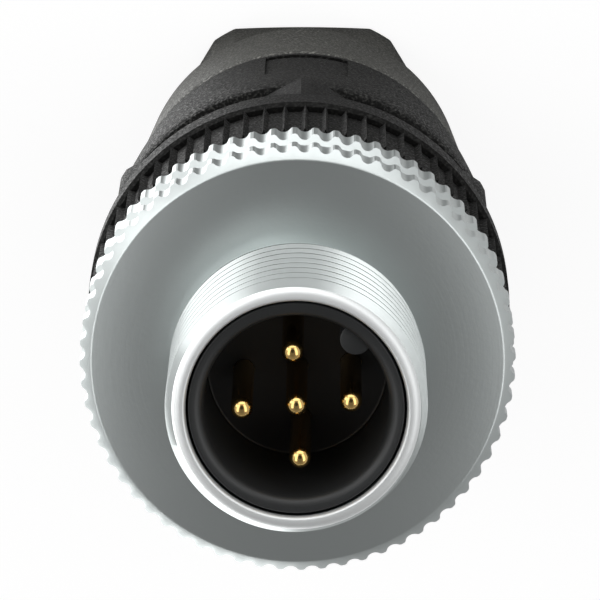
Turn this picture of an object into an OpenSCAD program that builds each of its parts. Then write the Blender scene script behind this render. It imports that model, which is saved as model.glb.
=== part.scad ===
// M12 circular cable connector for field wiring, male end with five contacts.
// The connector stands on the rear face of its clamping nut: Z = 0 is that face and +Z runs
// along the axis to the mating end. A "depth" is measured from the mating end towards the nut.
// Radii grow outwards from the contacts, through the terminal block, collar and sleeve, to the ring.

/* [Mating end] */
// Major diameter of the mating thread
thread_dia = 12; // [11.6:0.05:12.8]
// Length of the nose in front of the knurled ring
nose_len = 9.1; // [8.6:0.1:11]
// Length of the thread relief in front of the ring, and its chamfer
relief_len = 1.2; // [1:0.1:1.6]
// Depth of the thread relief below the crests
relief_depth = 0.5; // [0.4:0.05:0.6]
// Wall left inside the thread relief
nose_wall = 0.45; // [0.4:0.05:0.6]
// Chamfer that leads the thread in
lead_chamfer = 0.4; // [0.2:0.05:0.45]
// Chamfer inside the mouth of the nose
mouth_chamfer = 0.17; // [0.1:0.01:0.25]

/* [Knurled ring] */
// How far the knurl stands out past the rim of the grip collar
ring_overhang = 0.2; // [0.1:0.05:0.6]
// Length of the knurled ring
ring_len = 5.05; // [4.6:0.05:6.5]
// Radial size of the front chamfer of the ring
bevel_width = 0.65; // [0.4:0.05:0.8]
// Axial size of the front chamfer of the ring
bevel_len = 0.5; // [0.3:0.05:0.7]
// Distance from the front of the ring to the groove between its two rows
row_len = 1.55; // [1.3:0.05:1.7]
// Width of the groove between the rows at the crests
groove_width = 1.85; // [1.4:0.05:2]
// Depth of the groove between the rows
groove_depth = 0.45; // [0.3:0.05:0.6]
// Chamfer round the rear edge of the ring
rear_chamfer = 0.15; // [0.05:0.05:0.2]
// Flutes round the ring, and ribs round the grip collar
knurl_count = 64; // [48:4:68]
// Radius of each flute
flute_r = 0.35; // [0.3:0.01:0.38]
// Depth of each flute
flute_depth = 0.2; // [0.1:0.01:0.25]
// Depth of the neck seat behind the front of the ring
neck_back = 1.2; // [0.9:0.1:1.4]
// Thickness of the neck inside the ring that the contact carrier holds
neck_len = 1.2; // [0.8:0.1:1.4]

/* [Contact carrier] */
// Distance of the carrier rim behind the nose face
rim_back = 0.3; // [0.1:0.05:0.6]
// Gap between the carrier cup and the nose bore
cup_gap = 0.175; // [0.12:0.005:0.2]
// Wall of the carrier cup
cup_wall = 0.625; // [0.5:0.025:0.7]
// Small chamfers on the rim of the cup
rim_chamfer = 0.12; // [0.05:0.01:0.15]
// Thickness of the carrier floor in front of the cup's shoulder
floor_len = 1.9; // [1.6:0.1:2.3]
// Height of the shoulder between cup and stem
cup_shoulder = 0.525; // [0.4:0.025:0.6]
// Width of the coding key
key_width = 1.44; // [1.2:0.04:1.5]
// How far the coding key stands into the cup
key_reach = 0.87; // [0.7:0.01:0.95]
// Angle of the coding key from the first contact
key_turn = 225; // [220:1:230]
// Turn of the whole contact pattern
pattern_turn = 3.8; // [0:0.1:8]

/* [Contacts] */
// Diameter of the circle through the four outer contacts
contact_circle = 5; // [4.8:0.05:5.4]
// Contact diameter
contact_dia = 1; // [0.9:0.05:1.1]
// Contact shank diameter
shank_dia = 1.5; // [1.3:0.05:1.6]
// Distance of the contact tips behind the nose face
tip_back = 0.9; // [0.6:0.1:1.5]
// Clearance round each shank in its hole
shank_gap = 0.03; // [0.01:0.01:0.05]

/* [Terminals] */
// Distance from a contact's axis to the underside of its cage
cage_offset = 1.05; // [1:0.01:1.1]
// Gap between the centre cage and the outer shanks
cage_gap = 0.17; // [0.12:0.01:0.2]
// Length of a wire cage
cage_len = 3; // [2.7:0.05:3.4]
// Thickness of the cage floor
cage_floor = 0.4; // [0.3:0.05:0.45]
// Thickness of the cage roof that the screw passes
cage_roof = 0.8; // [0.7:0.05:1]
// Thickness of the cage side walls
cage_side = 0.3; // [0.25:0.01:0.32]
// Thickness of the cage front wall
cage_front = 0.4; // [0.3:0.05:0.5]
// Height of the wire chamber in a cage
chamber_height = 1.55; // [1.45:0.05:1.8]
// Terminal screw thread diameter
screw_dia = 1.4; // [1.2:0.05:1.45]
// Terminal screw head diameter
head_dia = 2.2; // [2:0.05:2.3]
// Terminal screw head height
head_len = 0.8; // [0.6:0.05:1]
// Slot width of the terminal screws
slot_width = 0.3; // [0.2:0.05:0.4]
// Slot depth of the terminal screws
slot_depth = 0.35; // [0.2:0.05:0.4]
// Stroke of the wire clamps
clamp_stroke = 1; // [0.8:0.05:1.1]
// Thickness of the wire clamps
plate_thick = 0.25; // [0.2:0.05:0.3]
// Gap between the wire clamps and the front walls of their cages
plate_gap = 0.1; // [0.05:0.01:0.2]

/* [Terminal block] */
// Length of the terminal block
block_len = 19; // [18:0.1:21]
// How far the screw heads lie below the face of the block
head_cover = 0.4; // [0.3:0.05:0.6]
// Radius of the wire channel behind the centre cage
channel_r = 1.2; // [1.1:0.05:1.25]

/* [Grip collar] */
// Wall of the hub that carries the ring
hub_wall = 2.49; // [2.3:0.01:2.7]
// Length of the hub's web, up to the clip
web_len = 5.1; // [4.6:0.1:5.6]
// Wall of the rear spigot
spigot_wall = 1.4; // [1.2:0.05:1.8]
// Length of the rear spigot, screwed into the sleeve
spigot_len = 4; // [3.5:0.1:4.4]
// Length of the ribbed band
rib_len = 5.55; // [5:0.05:6.5]
// How far the ground between the ribs lies below the rim
rib_step = 0.4; // [0.3:0.05:0.6]
// Radius of each rib
rib_r = 0.2; // [0.15:0.01:0.25]
// How far the plain rim stands out past the sleeve
rim_step = 0.3; // [0.2:0.05:0.5]
// Length of the plain rim behind the ribs
rim_len = 2.2; // [1.8:0.1:3]
// How far the flats of the wrench hexagon lie below the rim
hex_step = 1.15; // [1:0.05:1.3]
// Length of the wrench hexagon
hex_len = 4.1; // [3.5:0.1:5]
// Turn of the collar hexagon
hex_turn = 28; // [20:1:40]

/* [Sleeve] */
// Wall of the sleeve outside the spigot
sleeve_wall = 1.85; // [1.6:0.05:2.2]
// Gap between the terminal block and the cone inside the sleeve
wire_room = 0.4; // [0.2:0.1:2]
// Straight part at the front of the sleeve
sleeve_front = 1.5; // [1:0.1:2.5]
// Chamfer round the front of the sleeve
sleeve_chamfer = 0.3; // [0.1:0.05:0.4]
// Length of the sleeve's own spigot, screwed into the clamping nut
nut_thread_len = 7.8; // [7.3:0.1:8.4]
// Wall of the sleeve's own spigot
nut_thread_wall = 1.4; // [1.2:0.05:1.6]
// Distance from the front of the sleeve to the marker recess
marker_back = 4.2; // [3.5:0.1:5]
// Width of the marker recess
marker_width = 4.2; // [3:0.1:5]
// Depth of the marker recess
marker_depth = 0.35; // [0.2:0.05:0.45]

/* [Cable entry] */
// Bore of the cable seal
seal_bore_dia = 6; // [5:0.2:6.6]
// Wall of the cable seal
seal_wall = 2.5; // [2.3:0.05:2.8]
// Length of the cable seal
seal_len = 4.6; // [4.2:0.1:4.8]
// Thickness of the washer behind the seal
washer_len = 0.6; // [0.4:0.05:0.8]
// Gap between the washer and the cable
washer_gap = 0.3; // [0.2:0.05:0.6]
// Thickness of the cable clamp's ring
clamp_ring_len = 1.2; // [1:0.1:1.4]
// Length of the clamp fingers
finger_len = 4.2; // [3.8:0.1:4.6]
// Radial taper of the clamp fingers
finger_taper = 0.7; // [0.5:0.05:0.8]
// Wall of the cable clamp's ring
clamp_wall = 1.6; // [1.5:0.05:1.8]
// Width of the slots between the fingers
finger_slot = 0.8; // [0.6:0.05:1]
// Wall of the clamping nut outside the thread
nut_wall = 1.39; // [1.2:0.01:1.6]
// Length of the nut skirt
skirt_len = 9.4; // [9:0.1:11]
// Radial taper of the nut skirt
skirt_taper = 0.5; // [0.2:0.05:0.8]
// Length of the nut hexagon
nut_hex_len = 5.2; // [4.6:0.1:6]
// How far the flats of the nut hexagon lie below the skirt
nut_hex_step = 0.9; // [0.75:0.05:1]
// Gap between the cable hole of the nut and the seal's bore
cable_gap = 1.2; // [1:0.05:1.5]

/* [Fits] */
// Radial clearance of the ring on the hub and the carrier stem
ring_fit = 0.08; // [0.04:0.01:0.1]
// Radial clearance of the screwed joints
thread_fit = 0.06; // [0.03:0.01:0.09]
// Gap between the knurled ring and the grip collar
ring_gap = 0.2; // [0.15:0.05:0.3]
// Gap between the grip collar and the sleeve
sleeve_gap = 0.1; // [0.08:0.01:0.2]
// Gap between the sleeve and the clamping nut
nut_gap = 0.2; // [0.1:0.05:0.3]

/* [Drawing] */
// Sides drawn on a full circle
$fn = 96; // [48:8:144]

/* [Hidden] */
nickel = [0.74, 0.74, 0.72];
gold = [0.86, 0.66, 0.28];
carrier_black = [0.05, 0.05, 0.055];
body_black = [0.07, 0.07, 0.075];
nut_grey = [0.13, 0.13, 0.13];
rubber_black = [0.03, 0.03, 0.03];
steel = [0.62, 0.63, 0.65];
clamp_brass = [0.78, 0.66, 0.4];
block_grey = [0.2, 0.2, 0.2];

// How far a cut runs past the face that it opens, and a joined piece into its neighbour.
cut = 1;
sink = 0.1;

// Stations along the axis, as depths.
ring_end = nose_len + ring_len;
rib_at = ring_end + ring_gap;
rim_at = rib_at + rib_len;
hex_at = rim_at + rim_len;
collar_end = hex_at + hex_len;
spigot_end = collar_end + spigot_len;
sleeve_at = collar_end + sleeve_gap;

// Mating thread, nose bore, carrier and hub, from the outside in.
thread_r = thread_dia / 2;
thread_end = nose_len - relief_len;
relief_r = thread_r - relief_depth;
nose_bore_r = relief_r - nose_wall;
neck_at = nose_len + neck_back;
neck_end = neck_at + neck_len;
carrier_play = 0.1;
cup_r = nose_bore_r - cup_gap;
cavity_r = cup_r - cup_wall;
cup_end = neck_at - carrier_play;
floor_at = cup_end - floor_len;
stem_r = cup_r - cup_shoulder;
neck_r = stem_r + ring_fit;
web_gap = 0.03;
web_bore_r = stem_r + web_gap;
hub_at = neck_end + ring_gap;
hub_r = web_bore_r + hub_wall;
web_end = hub_at + web_len;
clip_len = 0.62;
clip_play = 0.04;
clip_seat_depth = 0.4;
clip_gap = 2.4;
clip_at = web_end + 2 * clip_play;
clip_seat_r = stem_r - clip_seat_depth;
clip_width = 1.25;
clip_room = 0.5;
clip_r = clip_seat_r + clip_width;
clip_room_r = clip_r + clip_room;
tail_len = 1.2;
stem_end = web_end + tail_len;
key_r = key_width / 2;

// Contacts, cages, clamps and screws, from the inside out.
contact_r = contact_circle / 2;
shank_r = shank_dia / 2;
floor_skin = 0.4;
shank_play = 0.05;
shank_at = floor_at + floor_skin + shank_play;
block_gap = 0.2;
block_at = stem_end + block_gap;
block_end = block_at + block_len;
cage_back = 0.3;
cage_spacing = 0.4;
outer_cage_at = block_end - cage_back - cage_len;
centre_cage_at = outer_cage_at - cage_spacing - cage_len;
cage_inner = contact_r - cage_offset;
centre_inner = -cage_offset;
cage_width = 2 * (contact_r * cos(45) - shank_r - cage_gap);
cage_height = cage_floor + chamber_height + cage_roof;
chamber_width = cage_width - 2 * cage_side;
cage_fit = 0.03;
screw_r = screw_dia / 2;
screw_fit = 0.03;
screw_play = 0.03;
plate_play = 0.05;
plate_side = 0.05;
plate_len = 2 * (cage_len / 2 - cage_front - plate_gap);
head_play = 0.1;
head_room = 0.15;
channel_overlap = 0.2;
cage_top_r = cage_inner + cage_height;
head_at_r = cage_top_r + clamp_stroke + head_play;
block_r = head_at_r + head_len + head_cover;

// Housing, from the terminal block outwards to the knurl.
block_fit = 0.1;
block_bore_r = block_r + block_fit;
collar_thread_r = block_bore_r + spigot_wall;
sleeve_r = collar_thread_r + sleeve_wall;
rim_r = sleeve_r + rim_step;
rib_root_r = rim_r - rib_step;
hex_size = 2 * (rim_r - hex_step);
ring_r = rim_r + ring_overhang;
flute_at_r = ring_r + flute_r - flute_depth;

// Damper ring in the hub, and gasket in the mouth of the sleeve.
damper_wire_r = 0.42;
damper_play = 0.02;
damper_back = 1.2;
damper_seat_len = 1;
damper_sink = 0.05;
damper_at = hub_at + damper_back;
damper_seat_r = hub_r - 2 * damper_wire_r - damper_sink;
gasket_wire_r = 0.44;
gasket_play = 0.08;
gasket_seat_len = 1;
gasket_front = 0.02;
gasket_room = 0.12;
mouth_r = collar_thread_r + 2 * gasket_wire_r + gasket_room;

// Rooms behind the terminal block, and the seal chamber.
wiring_gap = 1;
wiring_r = block_r + wiring_gap;
wire_wall = 0.9;
wire_cone = 1.4;
wire_gap = 1;
seal_play = 0.1;
seal_bore_r = seal_bore_dia / 2;
wire_hole_r = seal_bore_r + wire_gap;
seal_r = seal_bore_r + seal_wall;
chamber_r = seal_r + seal_play;
chamber_back = 0.7;
wall_at = block_end + wire_room + wire_cone;
chamber_at = wall_at + wire_wall;
seal_at = chamber_at + seal_play;
seal_groove = 0.4;
seal_pitch = 2;
washer_at = seal_at + seal_len + seal_play;
clamp_at = washer_at + washer_len + seal_play;
finger_end = clamp_at + clamp_ring_len + finger_len;
clamp_bore_r = seal_r - clamp_wall;
marker_turn = 268;
marker_end = 1;

// Stations of the sleeve and the nut, which follow the terminal block.
sleeve_end = chamber_at - chamber_back;
sleeve_len = sleeve_end - sleeve_at;
nut_thread_end = sleeve_end + nut_thread_len;
nut_at = sleeve_end + nut_gap;
nut_hex_at = nut_at + skirt_len;
total_length = nut_hex_at + nut_hex_len;

// Clamping nut, from the seal chamber outwards.
nut_thread_r = chamber_r + nut_thread_wall;
nut_bore_r = nut_thread_r + thread_fit;
nut_runout = 0.3;
nut_bore_end = nut_thread_end + nut_runout;
cone_gap = 0.15;
finger_gap = 0.2;
cone_end = finger_end + finger_gap;
cable_hole_r = seal_bore_r + cable_gap;
skirt_rear_r = nut_bore_r + nut_wall;
skirt_r = skirt_rear_r + skirt_taper;
skirt_round = 0.45;
nut_hex_size = 2 * (skirt_rear_r - nut_hex_step);
nut_corner_step = 0.075;
nut_corner_r = skirt_rear_r - nut_corner_step;
nut_bevel_width = 1;
nut_bevel_len = 0.58;
sleeve_rear_r = skirt_r;
small_chamfer = 0.2;
mouth_lead = 0.25;

// Height above the standing face of a point at the given depth.
function at(depth) = total_length - depth;

// Radius of the sleeve's outer face: straight at the front, then easing in to the rear shoulder.
function sleeve_face(t) = sleeve_r - (sleeve_r - sleeve_rear_r) * (0.35 * t * t + 0.65 * t);

// Solid of revolution from [radius, depth] pairs.
module turned(profile)
    rotate_extrude()
    polygon([for (p = profile) [p[0], at(p[1])]]);

// Round bar on the axis between two depths.
module rod(from, to, r)
    translate([0, 0, at(to)])
    cylinder(h = to - from, r = r);

// Round bar along +X between two radii, crossing the axis at the given depth.
module cross_rod(depth, from_r, to_r, r)
    translate([from_r, 0, at(depth)])
    rotate([0, 90, 0])
    cylinder(h = to_r - from_r, r = r);

// Block between two radii along +X and two depths.
module slab(from_r, to_r, width, from, to)
    translate([from_r, -width / 2, at(to)])
    cube([to_r - from_r, width, to - from]);

// Ring of round wire at the given depth.
module wire_ring(depth, inner_r, wire_r)
    translate([0, 0, at(depth)])
    rotate_extrude()
    translate([inner_r + wire_r, 0])
    circle(r = wire_r, $fn = 24);

// Copies round the axis.
module around(count, first = 0)
    for (k = [0 : count - 1])
        rotate([0, 0, first + 360 * k / count])
        children();

// Hexagonal bar between two depths.
module hex_bar(from, to, size, turn)
    rotate([0, 0, turn])
    translate([0, 0, at(to)])
    cylinder(h = to - from, r = size / 2 / cos(30), $fn = 6);

// Knurled coupling ring with the mating nose, turned in one piece. Two fluted rows stand either
// side of a groove, and the neck inside is held behind the cup of the contact carrier.
module coupling_ring()
    color(nickel)
    difference() {
        turned([
            [nose_bore_r + mouth_chamfer, 0],
            [thread_r - lead_chamfer, 0],
            [thread_r, lead_chamfer],
            [thread_r, thread_end],
            [relief_r, thread_end + relief_depth],
            [relief_r, nose_len],
            [ring_r - bevel_width, nose_len],
            [ring_r, nose_len + bevel_len],
            [ring_r, nose_len + row_len],
            [ring_r - groove_depth, nose_len + row_len + groove_depth],
            [ring_r - groove_depth, nose_len + row_len + groove_width - groove_depth],
            [ring_r, nose_len + row_len + groove_width],
            [ring_r, ring_end - rear_chamfer],
            [ring_r - rear_chamfer, ring_end],
            [hub_r + ring_fit, ring_end],
            [hub_r + ring_fit, neck_end],
            [neck_r, neck_end],
            [neck_r, neck_at],
            [nose_bore_r, neck_at],
            [nose_bore_r, mouth_chamfer]
        ]);
        around(knurl_count, 270)
            translate([flute_at_r, 0, 0])
            rod(nose_len - cut, ring_end + cut, flute_r, $fn = 24);
    }

// Contact carrier: open cup with the coding key, and the stem that passes through ring and collar.
module contact_insert()
    color(carrier_black)
    difference() {
        union() {
            turned([
                [0, floor_at],
                [cavity_r, floor_at],
                [cavity_r, rim_back + rim_chamfer],
                [cavity_r + rim_chamfer, rim_back],
                [cup_r - rim_chamfer, rim_back],
                [cup_r, rim_back + rim_chamfer],
                [cup_r, cup_end],
                [stem_r, cup_end],
                [stem_r, clip_at - clip_play],
                [clip_seat_r, clip_at - clip_play],
                [clip_seat_r, clip_at + clip_len + clip_play],
                [stem_r, clip_at + clip_len + clip_play],
                [stem_r, stem_end],
                [0, stem_end]
            ]);
            rotate([0, 0, pattern_turn + key_turn])
                translate([cavity_r - key_reach + key_r, 0, 0])
                rod(tip_back, floor_at + sink, key_r);
        }
        contact_hole();
        around(4, pattern_turn)
            translate([contact_r, 0, 0])
            contact_hole();
    }

// Hole for a contact shank.
module shank_hole(from, to)
    rod(from, to, shank_r + shank_gap);

// Hole for a contact in the carrier, whose floor closes over the end of the shank.
module contact_hole() {
    rod(floor_at - cut, floor_at + floor_skin + sink, contact_dia / 2 + shank_gap);
    shank_hole(floor_at + floor_skin, stem_end + cut);
}

// Contact rod with a rounded tip and a thicker shank.
module contact_rod(to)
    turned(concat(
        [for (a = [90 : -15 : 0]) [contact_dia / 2 * cos(a), tip_back + contact_dia / 2 * (1 - sin(a))]],
        [[contact_dia / 2, shank_at], [shank_r, shank_at], [shank_r, to], [0, to]]
    ));

// Wire cage, open to the rear, with a screw hole through its roof.
module cage(inner, from)
    difference() {
        slab(inner, inner + cage_height, cage_width, from, from + cage_len);
        slab(inner + cage_floor, inner + cage_floor + chamber_height, chamber_width,
            from + cage_front, from + cage_len + cut);
        cross_rod(from + cage_len / 2, inner + cage_floor + sink, inner + cage_height + cut,
            screw_r + screw_fit);
    }

// Outer contact with its cage, drawn on the +X side.
module outer_contact()
    color(gold)
    union() {
        translate([contact_r, 0, 0])
            contact_rod(outer_cage_at + cage_front / 2);
        cage(cage_inner, outer_cage_at);
    }

module pin_1() rotate([0, 0, pattern_turn]) outer_contact();

module pin_2() rotate([0, 0, pattern_turn + 90]) outer_contact();

module pin_3() rotate([0, 0, pattern_turn + 180]) outer_contact();

module pin_4() rotate([0, 0, pattern_turn + 270]) outer_contact();

// Centre contact. Its cage sits in front of the others and its screw leaves between two of them.
module pin_5()
    color(gold)
    rotate([0, 0, pattern_turn + 45])
    union() {
        contact_rod(centre_cage_at + cage_front / 2);
        cage(centre_inner, centre_cage_at);
    }

// Pressure plate below the roof of a cage.
module clamp_plate(inner, from)
    color(clamp_brass)
    slab(
        inner + cage_floor + chamber_height - plate_play - plate_thick,
        inner + cage_floor + chamber_height - plate_play,
        chamber_width - 2 * plate_side,
        from + cage_len / 2 - plate_len / 2,
        from + cage_len / 2 + plate_len / 2
    );

module wire_clamp_1() rotate([0, 0, pattern_turn]) clamp_plate(cage_inner, outer_cage_at);

module wire_clamp_2() rotate([0, 0, pattern_turn + 90]) clamp_plate(cage_inner, outer_cage_at);

module wire_clamp_3() rotate([0, 0, pattern_turn + 180]) clamp_plate(cage_inner, outer_cage_at);

module wire_clamp_4() rotate([0, 0, pattern_turn + 270]) clamp_plate(cage_inner, outer_cage_at);

module wire_clamp_5() rotate([0, 0, pattern_turn + 45]) clamp_plate(centre_inner, centre_cage_at);

// Slotted terminal screw, backed off, with its head in the block.
module cage_screw(inner, from)
    color(steel)
    difference() {
        union() {
            cross_rod(from + cage_len / 2,
                inner + cage_floor + chamber_height - plate_play + screw_play, head_at_r + sink, screw_r);
            cross_rod(from + cage_len / 2, head_at_r, head_at_r + head_len, head_dia / 2);
        }
        slab(head_at_r + head_len - slot_depth, head_at_r + head_len + cut, slot_width,
            from + cage_len / 2 - head_dia, from + cage_len / 2 + head_dia);
    }

module terminal_screw_1() rotate([0, 0, pattern_turn]) cage_screw(cage_inner, outer_cage_at);

module terminal_screw_2() rotate([0, 0, pattern_turn + 90]) cage_screw(cage_inner, outer_cage_at);

module terminal_screw_3() rotate([0, 0, pattern_turn + 180]) cage_screw(cage_inner, outer_cage_at);

module terminal_screw_4() rotate([0, 0, pattern_turn + 270]) cage_screw(cage_inner, outer_cage_at);

module terminal_screw_5() rotate([0, 0, pattern_turn + 45]) cage_screw(centre_inner, centre_cage_at);

// Insulating block round the five cages, open to the rear for the wires.
module terminal_block()
    color(block_grey)
    difference() {
        turned([
            [0, block_at],
            [block_r, block_at],
            [block_r, block_end - head_cover],
            [block_r - head_cover, block_end],
            [0, block_end]
        ]);
        around(4, pattern_turn) {
            translate([contact_r, 0, 0])
                shank_hole(block_at - cut, outer_cage_at + sink);
            slab(cage_inner - cage_fit, cage_top_r + cage_fit,
                cage_width + 2 * cage_fit, outer_cage_at - cage_fit, block_end + cut);
            head_hole(outer_cage_at);
        }
        rotate([0, 0, pattern_turn + 45]) {
            shank_hole(block_at - cut, centre_cage_at + sink);
            slab(centre_inner - cage_fit, centre_inner + cage_height + cage_fit,
                cage_width + 2 * cage_fit, centre_cage_at - cage_fit, centre_cage_at + cage_len + cage_fit);
            rod(centre_cage_at + cage_len - channel_overlap, block_end + cut, channel_r);
            cross_rod(centre_cage_at + cage_len / 2, centre_inner + cage_height - sink,
                head_at_r, screw_r + head_play);
            head_hole(centre_cage_at);
        }
    }

// Hole for a screw head, with room for the stroke, open to the side of the block.
module head_hole(from)
    cross_rod(from + cage_len / 2, head_at_r - clamp_stroke - head_play,
        block_r + cut, head_dia / 2 + head_room);

// Black grip collar: hub inside the ring, ribbed band, plain rim, wrench hexagon and rear spigot.
module grip_collar()
    color(body_black)
    difference() {
        union() {
            turned([
                [0, hub_at],
                [hub_r, hub_at],
                [hub_r, damper_at - damper_seat_len / 2],
                [damper_seat_r, damper_at - damper_seat_len / 2],
                [damper_seat_r, damper_at + damper_seat_len / 2],
                [hub_r, damper_at + damper_seat_len / 2],
                [hub_r, rib_at],
                [rib_root_r, rib_at],
                [rib_root_r, rim_at],
                [rim_r - small_chamfer, rim_at],
                [rim_r, rim_at + small_chamfer],
                [rim_r, hex_at],
                [collar_thread_r, hex_at],
                [collar_thread_r, spigot_end - small_chamfer],
                [collar_thread_r - small_chamfer, spigot_end],
                [0, spigot_end]
            ]);
            around(knurl_count, 270)
                translate([rib_root_r + rib_r / 2, 0, 0])
                rod(rib_at + sink, rim_at + sink, rib_r, $fn = 24);
            intersection() {
                hex_bar(hex_at - sink, collar_end, hex_size, hex_turn);
                rod(hex_at - cut, collar_end + cut, rim_r);
            }
        }
        rod(hub_at - cut, web_end + sink, web_bore_r);
        rod(web_end, block_at, clip_room_r);
        rod(block_at - sink, spigot_end + cut, block_bore_r);
    }

// Rubber ring in the hub groove that keeps the coupling ring from shaking loose.
module ring_damper()
    color(rubber_black)
    wire_ring(damper_at, damper_seat_r + damper_play, damper_wire_r);

// Open spring clip that locks the carrier stem behind the collar web.
module insert_clip()
    color(steel)
    rotate([0, 0, pattern_turn + 45])
    difference() {
        rod(clip_at, clip_at + clip_len, clip_r);
        rod(clip_at - cut, clip_at + clip_len + cut, clip_seat_r + damper_play);
        slab(0, clip_r + cut, clip_gap, clip_at - cut, clip_at + clip_len + cut);
    }

// Gasket in the mouth of the sleeve.
module sleeve_gasket()
    color(rubber_black)
    wire_ring(sleeve_at + gasket_front + gasket_wire_r, collar_thread_r + gasket_play, gasket_wire_r);

// Outer face of the sleeve, set in by the given amount.
module sleeve_skin(inset)
    turned(concat(
        [
            [0, sleeve_at],
            [sleeve_r - inset - sleeve_chamfer, sleeve_at],
            [sleeve_r - inset, sleeve_at + sleeve_chamfer]
        ],
        [
            for (t = [0 : 0.125 : 1])
                [sleeve_face(t) - inset, sleeve_at + sleeve_front + (sleeve_len - sleeve_front) * t]
        ],
        [[0, sleeve_end]]
    ));

// Sleeve over the terminals. Its rear spigot takes the clamping nut and holds the cable seal.
module sleeve()
    color(body_black)
    difference() {
        union() {
            sleeve_skin(0);
            turned([
                [0, sleeve_end - cut],
                [nut_thread_r, sleeve_end - cut],
                [nut_thread_r, nut_thread_end - small_chamfer],
                [nut_thread_r - small_chamfer, nut_thread_end],
                [0, nut_thread_end]
            ]);
        }
        turned([
            [0, sleeve_at - cut],
            [mouth_r, sleeve_at - cut],
            [mouth_r, sleeve_at + gasket_seat_len],
            [collar_thread_r + thread_fit, sleeve_at + gasket_seat_len],
            [collar_thread_r + thread_fit, spigot_end + 2 * small_chamfer],
            [wiring_r, spigot_end + 2 * small_chamfer],
            [wiring_r, wall_at - wire_cone],
            [wire_hole_r, wall_at],
            [wire_hole_r, chamber_at],
            [chamber_r, chamber_at],
            [chamber_r, nut_thread_end + cut],
            [0, nut_thread_end + cut]
        ]);
        rotate([0, 0, marker_turn])
            difference() {
                slab(0, sleeve_r + cut, marker_width, sleeve_at + marker_back, sleeve_end - marker_end);
                sleeve_skin(marker_depth);
            }
    }

// Rubber cable seal with two grooves inside.
module cable_seal()
    color(rubber_black)
    difference() {
        rod(seal_at, seal_at + seal_len, seal_r);
        rod(seal_at - cut, seal_at + seal_len + cut, seal_bore_r);
        for (d = [-seal_pitch / 2, seal_pitch / 2])
            turned([
                [0, seal_at + seal_len / 2 + d - 1.5 * seal_groove],
                [seal_bore_r, seal_at + seal_len / 2 + d - 1.5 * seal_groove],
                [seal_bore_r + seal_groove, seal_at + seal_len / 2 + d - seal_groove / 2],
                [seal_bore_r + seal_groove, seal_at + seal_len / 2 + d + seal_groove / 2],
                [seal_bore_r, seal_at + seal_len / 2 + d + 1.5 * seal_groove],
                [0, seal_at + seal_len / 2 + d + 1.5 * seal_groove]
            ]);
    }

// Washer between the seal and the cable clamp.
module thrust_washer()
    color(body_black)
    difference() {
        rod(washer_at, washer_at + washer_len, seal_r);
        rod(washer_at - cut, washer_at + washer_len + cut, seal_bore_r + washer_gap);
    }

// Cable clamp: a ring with tapered fingers that the nut's cone presses on the cable.
module cable_clamp()
    color(body_black)
    difference() {
        turned([
            [clamp_bore_r, clamp_at],
            [seal_r, clamp_at],
            [seal_r, clamp_at + clamp_ring_len],
            [seal_r - sink, clamp_at + clamp_ring_len + sink],
            [seal_r - sink - finger_taper, finger_end],
            [clamp_bore_r, finger_end]
        ]);
        around(4)
            slab(-seal_r - cut, seal_r + cut, finger_slot,
                clamp_at + clamp_ring_len + 3 * sink, finger_end + cut);
    }

// Clamping nut: tapered skirt, wrench hexagon with turned corners, and the cable hole.
module clamping_nut()
    color(nut_grey)
    difference() {
        union() {
            turned(concat(
                [[0, nut_at]],
                [for (a = [0 : 22.5 : 90])
                    [skirt_r - skirt_round * (1 - sin(a)), nut_at + skirt_round * (1 - cos(a))]],
                [[skirt_rear_r, nut_hex_at], [0, nut_hex_at]]
            ));
            intersection() {
                hex_bar(nut_hex_at - sink, total_length, nut_hex_size, 0);
                turned([
                    [0, nut_hex_at - cut],
                    [nut_corner_r, nut_hex_at - cut],
                    [nut_corner_r, total_length - nut_bevel_len],
                    [nut_corner_r - nut_bevel_width, total_length],
                    [0, total_length]
                ]);
            }
        }
        turned([
            [0, nut_at - cut],
            [nut_bore_r + mouth_lead, nut_at - cut],
            [nut_bore_r + mouth_lead, nut_at],
            [nut_bore_r, nut_at + mouth_lead],
            [nut_bore_r, nut_bore_end],
            [chamber_r, nut_bore_end],
            [seal_r - finger_taper - sink + cone_gap, cone_end],
            [cable_hole_r, cone_end],
            [cable_hole_r, total_length + cut],
            [0, total_length + cut]
        ]);
    }

coupling_ring();
contact_insert();
grip_collar();
ring_damper();
insert_clip();
terminal_block();
pin_1();
pin_2();
pin_3();
pin_4();
pin_5();
wire_clamp_1();
wire_clamp_2();
wire_clamp_3();
wire_clamp_4();
wire_clamp_5();
terminal_screw_1();
terminal_screw_2();
terminal_screw_3();
terminal_screw_4();
terminal_screw_5();
sleeve();
sleeve_gasket();
cable_seal();
thrust_washer();
cable_clamp();
clamping_nut();
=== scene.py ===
import math

import bmesh
import bpy
from bpy.props import FloatProperty, FloatVectorProperty, IntProperty, PointerProperty
from mathutils import Matrix, Vector


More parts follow.
